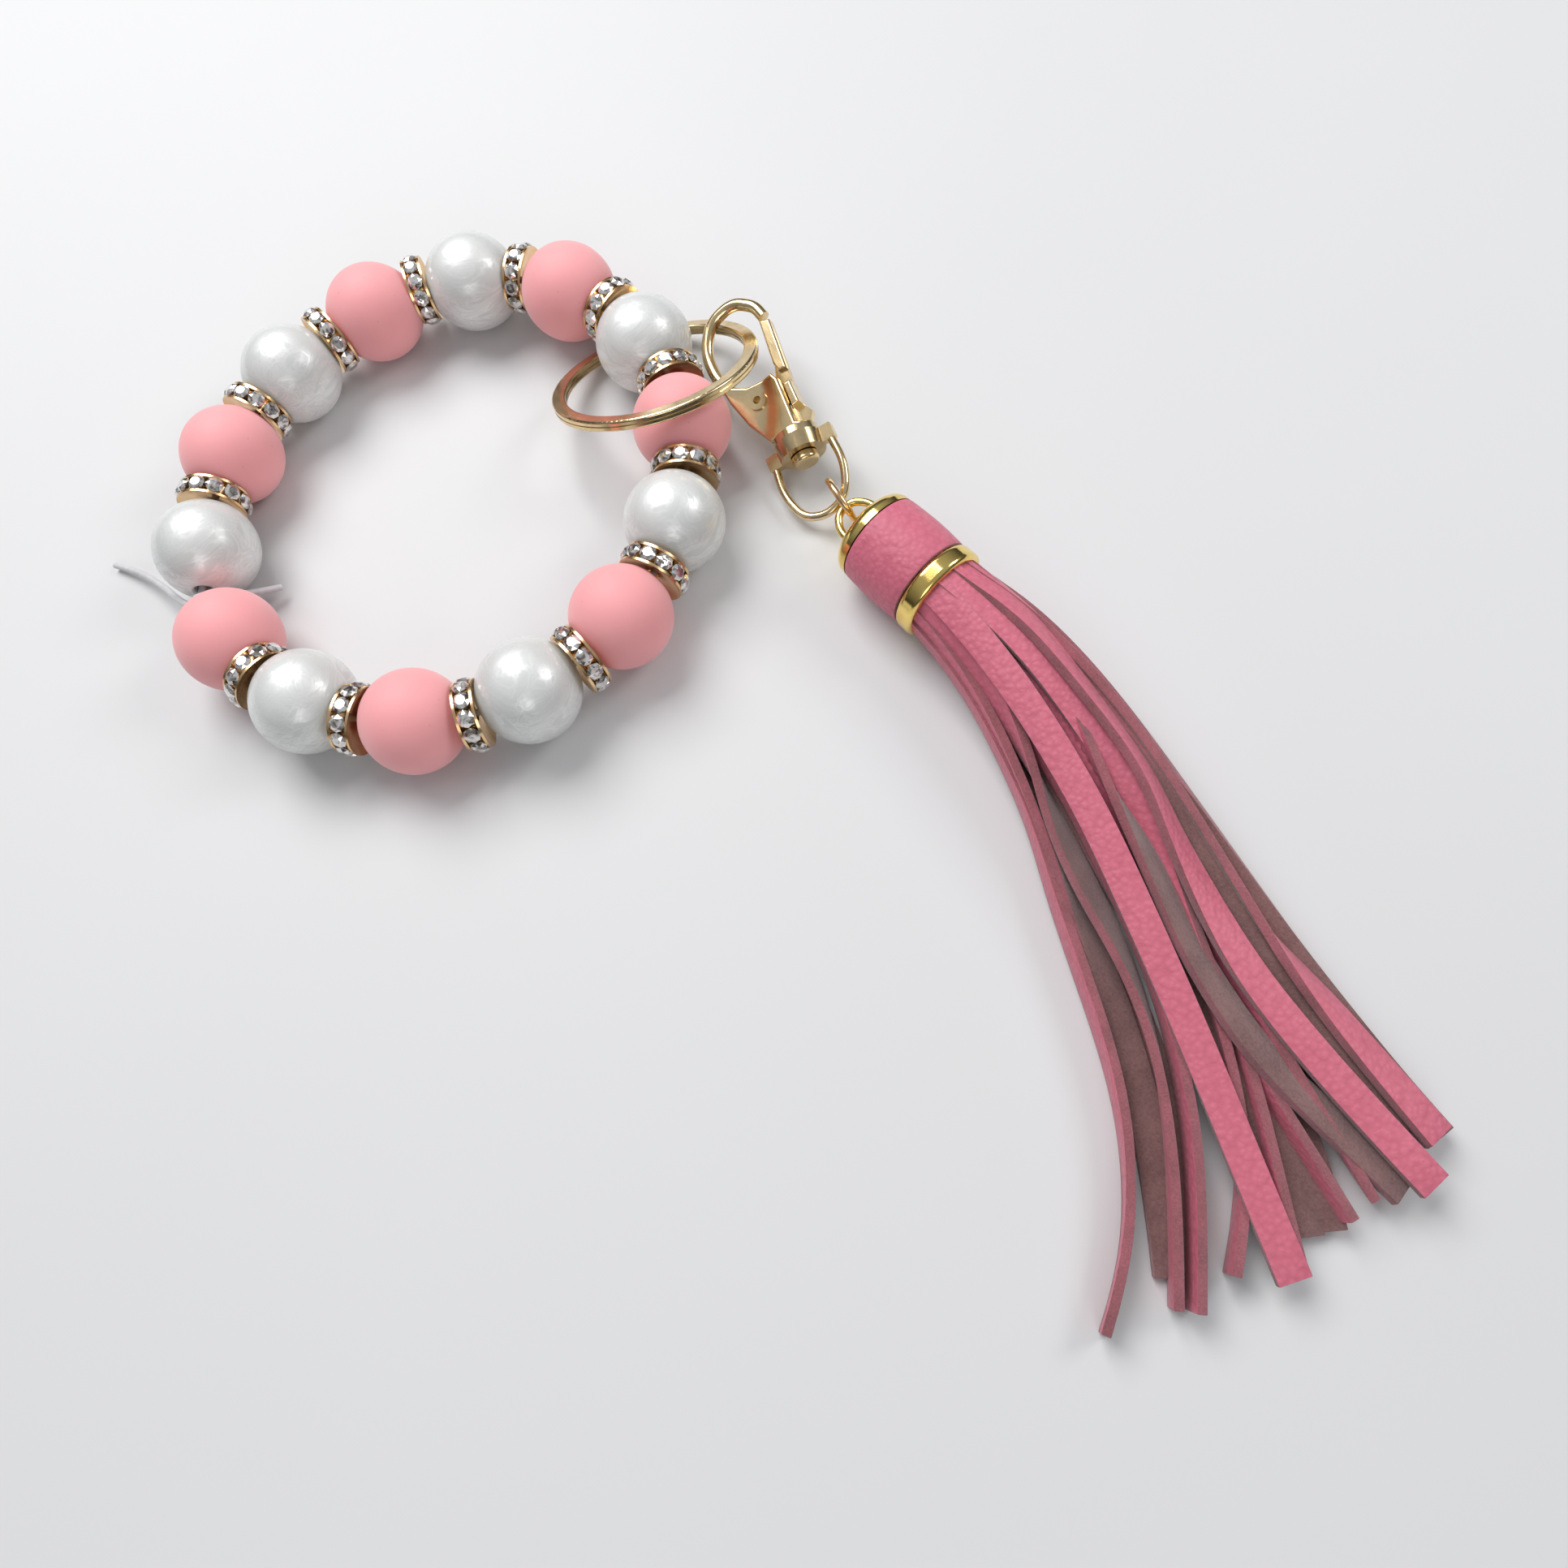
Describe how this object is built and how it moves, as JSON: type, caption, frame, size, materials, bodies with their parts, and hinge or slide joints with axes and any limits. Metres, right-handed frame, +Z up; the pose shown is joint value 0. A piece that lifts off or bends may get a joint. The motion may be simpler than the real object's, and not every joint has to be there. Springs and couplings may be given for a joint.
{
  "type": "wristlet keychain",
  "caption": "Stretch wristlet of round beads and crystal rondelles with a split key ring, a swivel trigger clasp and a leatherette tassel.",
  "frame": {"origin": "middle of the footprint of the keychain without its elastic cord, on the surface that it lies on", "axes": "+X from the bracelet towards the tassel's tips, +Z up from the surface, +Y to the left of +X"},
  "size_m": [0.2061, 0.0983, 0.0169],
  "materials": {
    "cord_elastic": "satin grey-white elastic",
    "bead_pink": "matte silicone",
    "bead_pearl": "pearlescent acrylic",
    "rondelle_gold": "polished gold plate",
    "crystal": "clear faceted glass",
    "ring_gold": "polished pale gold plate",
    "clasp_gold": "polished pale gold plate on a zinc casting",
    "spring_steel": "spring wire",
    "head_gold": "polished yellow gold plate",
    "leather_pink": "grained pink leatherette with a mauve-brown suede back"
  },
  "bodies": {
    "bracelet_cord": {"elastic_cord": "cord_elastic", "cord_knot": "cord_elastic", "cord_tail_long": "cord_elastic", "cord_tail_short": "cord_elastic"},
    "key_ring": {"key_ring": "ring_gold"},
    "clasp": {"clasp_body": "clasp_gold", "clasp_rivet": "clasp_gold", "gate_spring": "spring_steel", "swivel_post": "clasp_gold"},
    "gate": {"clasp_gate": "clasp_gold"},
    "swivel_ring": {"swivel_ring": "clasp_gold"},
    "jump_ring": {"jump_ring": "ring_gold"},
    "tassel": {"tassel_bail": "head_gold", "tassel_cap": "head_gold", "leather_band": "leather_pink", "tassel_ferrule": "head_gold", "tassel_core": "leather_pink", "tassel_fringe": "leather_pink"},
    "bead_01": {"bead_pearl_01": "bead_pearl"},
    "bead_02": {"bead_pink_02": "bead_pink"},
    "bead_03": {"bead_pearl_03": "bead_pearl"},
    "bead_04": {"bead_pink_04": "bead_pink"},
    "bead_05": {"bead_pearl_05": "bead_pearl"},
    "bead_06": {"bead_pink_06": "bead_pink"},
    "bead_07": {"bead_pearl_07": "bead_pearl"},
    "bead_08": {"bead_pink_08": "bead_pink"},
    "bead_09": {"bead_pearl_09": "bead_pearl"},
    "bead_10": {"bead_pink_10": "bead_pink"},
    "bead_11": {"bead_pearl_11": "bead_pearl"},
    "bead_12": {"bead_pink_12": "bead_pink"},
    "bead_13": {"bead_pearl_13": "bead_pearl"},
    "bead_14": {"bead_pink_14": "bead_pink"},
    "rondelle_01": {"rondelle_rim_01": "rondelle_gold", "rondelle_crystals_01": "crystal"},
    "rondelle_02": {"rondelle_rim_02": "rondelle_gold", "rondelle_crystals_02": "crystal"},
    "rondelle_03": {"rondelle_rim_03": "rondelle_gold", "rondelle_crystals_03": "crystal"},
    "rondelle_04": {"rondelle_rim_04": "rondelle_gold", "rondelle_crystals_04": "crystal"},
    "rondelle_05": {"rondelle_rim_05": "rondelle_gold", "rondelle_crystals_05": "crystal"},
    "rondelle_06": {"rondelle_rim_06": "rondelle_gold", "rondelle_crystals_06": "crystal"},
    "rondelle_07": {"rondelle_rim_07": "rondelle_gold", "rondelle_crystals_07": "crystal"},
    "rondelle_08": {"rondelle_rim_08": "rondelle_gold", "rondelle_crystals_08": "crystal"},
    "rondelle_09": {"rondelle_rim_09": "rondelle_gold", "rondelle_crystals_09": "crystal"},
    "rondelle_10": {"rondelle_rim_10": "rondelle_gold", "rondelle_crystals_10": "crystal"},
    "rondelle_11": {"rondelle_rim_11": "rondelle_gold", "rondelle_crystals_11": "crystal"},
    "rondelle_12": {"rondelle_rim_12": "rondelle_gold", "rondelle_crystals_12": "crystal"},
    "rondelle_13": {"rondelle_rim_13": "rondelle_gold", "rondelle_crystals_13": "crystal"}
  },
  "joints": [
    {"name": "key_ring_swing", "type": "hinge", "parent": "bracelet_cord", "child": "key_ring", "pos_m": [-0.04622, 0.03009, 0.0075], "axis": [0.8907, -0.4547, 0], "range_deg": [0, 75]},
    {"name": "clasp_slide", "type": "hinge", "parent": "key_ring", "child": "clasp", "pos_m": [-0.04775, 0.0302, 0.00861], "axis": [0.411, -0.223, -0.884], "range_deg": [0, 6]},
    {"name": "gate_open", "type": "hinge", "parent": "clasp", "child": "gate", "pos_m": [-0.0322, 0.0375, 0.0055], "axis": [-0.0741, -0.4421, 0.8939], "range_deg": [0, 6.5], "stiffness_Nm_per_rad": 0.02, "springref_deg": -17.19},
    {"name": "swivel_turn", "type": "hinge", "parent": "clasp", "child": "swivel_ring", "pos_m": [-0.0239, 0.0358, 0.00535], "axis": [0.8626, -0.4782, -0.1651], "continuous": true},
    {"name": "jump_ring_swing", "type": "hinge", "parent": "swivel_ring", "child": "jump_ring", "pos_m": [-0.01277, 0.03222, 0.0045], "axis": [0.0594, -0.8967, -0.4386], "range_deg": [0, 50]},
    {"name": "tassel_swing", "type": "hinge", "parent": "jump_ring", "child": "tassel", "pos_m": [-0.00995, 0.03002, 0.0073], "axis": [-0.1243, -0.9702, -0.2079], "range_deg": [0, 60]},
    {"name": "turn_bead_01", "type": "hinge", "parent": "bracelet_cord", "child": "bead_01", "pos_m": [-0.08123, -0.03424, 0.0075], "axis": [-0.7379, 0.6749, 0], "continuous": true},
    {"name": "turn_bead_02", "type": "hinge", "parent": "bracelet_cord", "child": "bead_02", "pos_m": [-0.09132, -0.02071, 0.0075], "axis": [-0.4331, 0.9013, 0], "continuous": true},
    {"name": "turn_bead_03", "type": "hinge", "parent": "bracelet_cord", "child": "bead_03", "pos_m": [-0.09555, -0.0046, 0.0075], "axis": [-0.0646, 0.9979, 0], "continuous": true},
    {"name": "turn_bead_04", "type": "hinge", "parent": "bracelet_cord", "child": "bead_04", "pos_m": [-0.09362, 0.01202, 0.0075], "axis": [0.2916, 0.9565, 0], "continuous": true},
    {"name": "turn_bead_05", "type": "hinge", "parent": "bracelet_cord", "child": "bead_05", "pos_m": [-0.08502, 0.02615, 0.0075], "axis": [0.7158, 0.6983, 0], "continuous": true},
    {"name": "turn_bead_06", "type": "hinge", "parent": "bracelet_cord", "child": "bead_06", "pos_m": [-0.07054, 0.03411, 0.0075], "axis": [0.9728, 0.2316, 0], "continuous": true},
    {"name": "turn_bead_07", "type": "hinge", "parent": "bracelet_cord", "child": "bead_07", "pos_m": [-0.05378, 0.03395, 0.0075], "axis": [0.9691, -0.2466, 0], "continuous": true},
    {"name": "turn_bead_08", "type": "hinge", "parent": "bracelet_cord", "child": "bead_08", "pos_m": [-0.03866, 0.02624, 0.0075], "axis": [0.7696, -0.6385, 0], "continuous": true},
    {"name": "turn_bead_09", "type": "hinge", "parent": "bracelet_cord", "child": "bead_09", "pos_m": [-0.02808, 0.01296, 0.0075], "axis": [0.4495, -0.8933, 0], "continuous": true},
    {"name": "turn_bead_10", "type": "hinge", "parent": "bracelet_cord", "child": "bead_10", "pos_m": [-0.02355, -0.0033, 0.0075], "axis": [0.0754, -0.9972, 0], "continuous": true},
    {"name": "turn_bead_11", "type": "hinge", "parent": "bracelet_cord", "child": "bead_11", "pos_m": [-0.02593, -0.01986, 0.0075], "axis": [-0.3543, -0.9351, 0], "continuous": true},
    {"name": "turn_bead_12", "type": "hinge", "parent": "bracelet_cord", "child": "bead_12", "pos_m": [-0.03543, -0.03345, 0.0075], "axis": [-0.7576, -0.6527, 0], "continuous": true},
    {"name": "turn_bead_13", "type": "hinge", "parent": "bracelet_cord", "child": "bead_13", "pos_m": [-0.0501, -0.04126, 0.0075], "axis": [-0.9648, -0.2631, 0], "continuous": true},
    {"name": "turn_bead_14", "type": "hinge", "parent": "bracelet_cord", "child": "bead_14", "pos_m": [-0.06656, -0.0418, 0.0075], "axis": [-0.9797, 0.2007, 0], "continuous": true},
    {"name": "turn_rondelle_01", "type": "hinge", "parent": "bracelet_cord", "child": "rondelle_01", "pos_m": [-0.08716, -0.02794, 0.0075], "axis": [-0.5963, 0.8027, 0], "continuous": true},
    {"name": "turn_rondelle_02", "type": "hinge", "parent": "bracelet_cord", "child": "rondelle_02", "pos_m": [-0.09438, -0.01289, 0.0075], "axis": [-0.2535, 0.9673, 0], "continuous": true},
    {"name": "turn_rondelle_03", "type": "hinge", "parent": "bracelet_cord", "child": "rondelle_03", "pos_m": [-0.09547, 0.00373, 0.0075], "axis": [0.1154, 0.9933, 0], "continuous": true},
    {"name": "turn_rondelle_04", "type": "hinge", "parent": "bracelet_cord", "child": "rondelle_04", "pos_m": [-0.09062, 0.01979, 0.0075], "axis": [0.52, 0.8542, 0], "continuous": true},
    {"name": "turn_rondelle_05", "type": "hinge", "parent": "bracelet_cord", "child": "rondelle_05", "pos_m": [-0.0786, 0.03155, 0.0075], "axis": [0.876, 0.4824, 0], "continuous": true},
    {"name": "turn_rondelle_06", "type": "hinge", "parent": "bracelet_cord", "child": "rondelle_06", "pos_m": [-0.06214, 0.03545, 0.0075], "axis": [1, -0.0077, 0], "continuous": true},
    {"name": "turn_rondelle_07", "type": "hinge", "parent": "bracelet_cord", "child": "rondelle_07", "pos_m": [-0.04562, 0.03121, 0.0075], "axis": [0.8912, -0.4536, 0], "continuous": true},
    {"name": "turn_rondelle_08", "type": "hinge", "parent": "bracelet_cord", "child": "rondelle_08", "pos_m": [-0.03244, 0.02024, 0.0075], "axis": [0.6227, -0.7824, 0], "continuous": true},
    {"name": "turn_rondelle_09", "type": "hinge", "parent": "bracelet_cord", "child": "rondelle_09", "pos_m": [-0.02482, 0.00509, 0.0075], "axis": [0.2675, -0.9635, 0], "continuous": true},
    {"name": "turn_rondelle_10", "type": "hinge", "parent": "bracelet_cord", "child": "rondelle_10", "pos_m": [-0.02353, -0.01172, 0.0075], "axis": [-0.1429, -0.9897, 0], "continuous": true},
    {"name": "turn_rondelle_11", "type": "hinge", "parent": "bracelet_cord", "child": "rondelle_11", "pos_m": [-0.02947, -0.02747, 0.0075], "axis": [-0.5736, -0.8191, 0], "continuous": true},
    {"name": "turn_rondelle_12", "type": "hinge", "parent": "bracelet_cord", "child": "rondelle_12", "pos_m": [-0.04218, -0.03844, 0.0075], "axis": [-0.8829, -0.4695, 0], "continuous": true},
    {"name": "turn_rondelle_13", "type": "hinge", "parent": "bracelet_cord", "child": "rondelle_13", "pos_m": [-0.05833, -0.04285, 0.0075], "axis": [-0.9995, -0.0321, 0], "continuous": true}
  ]
}
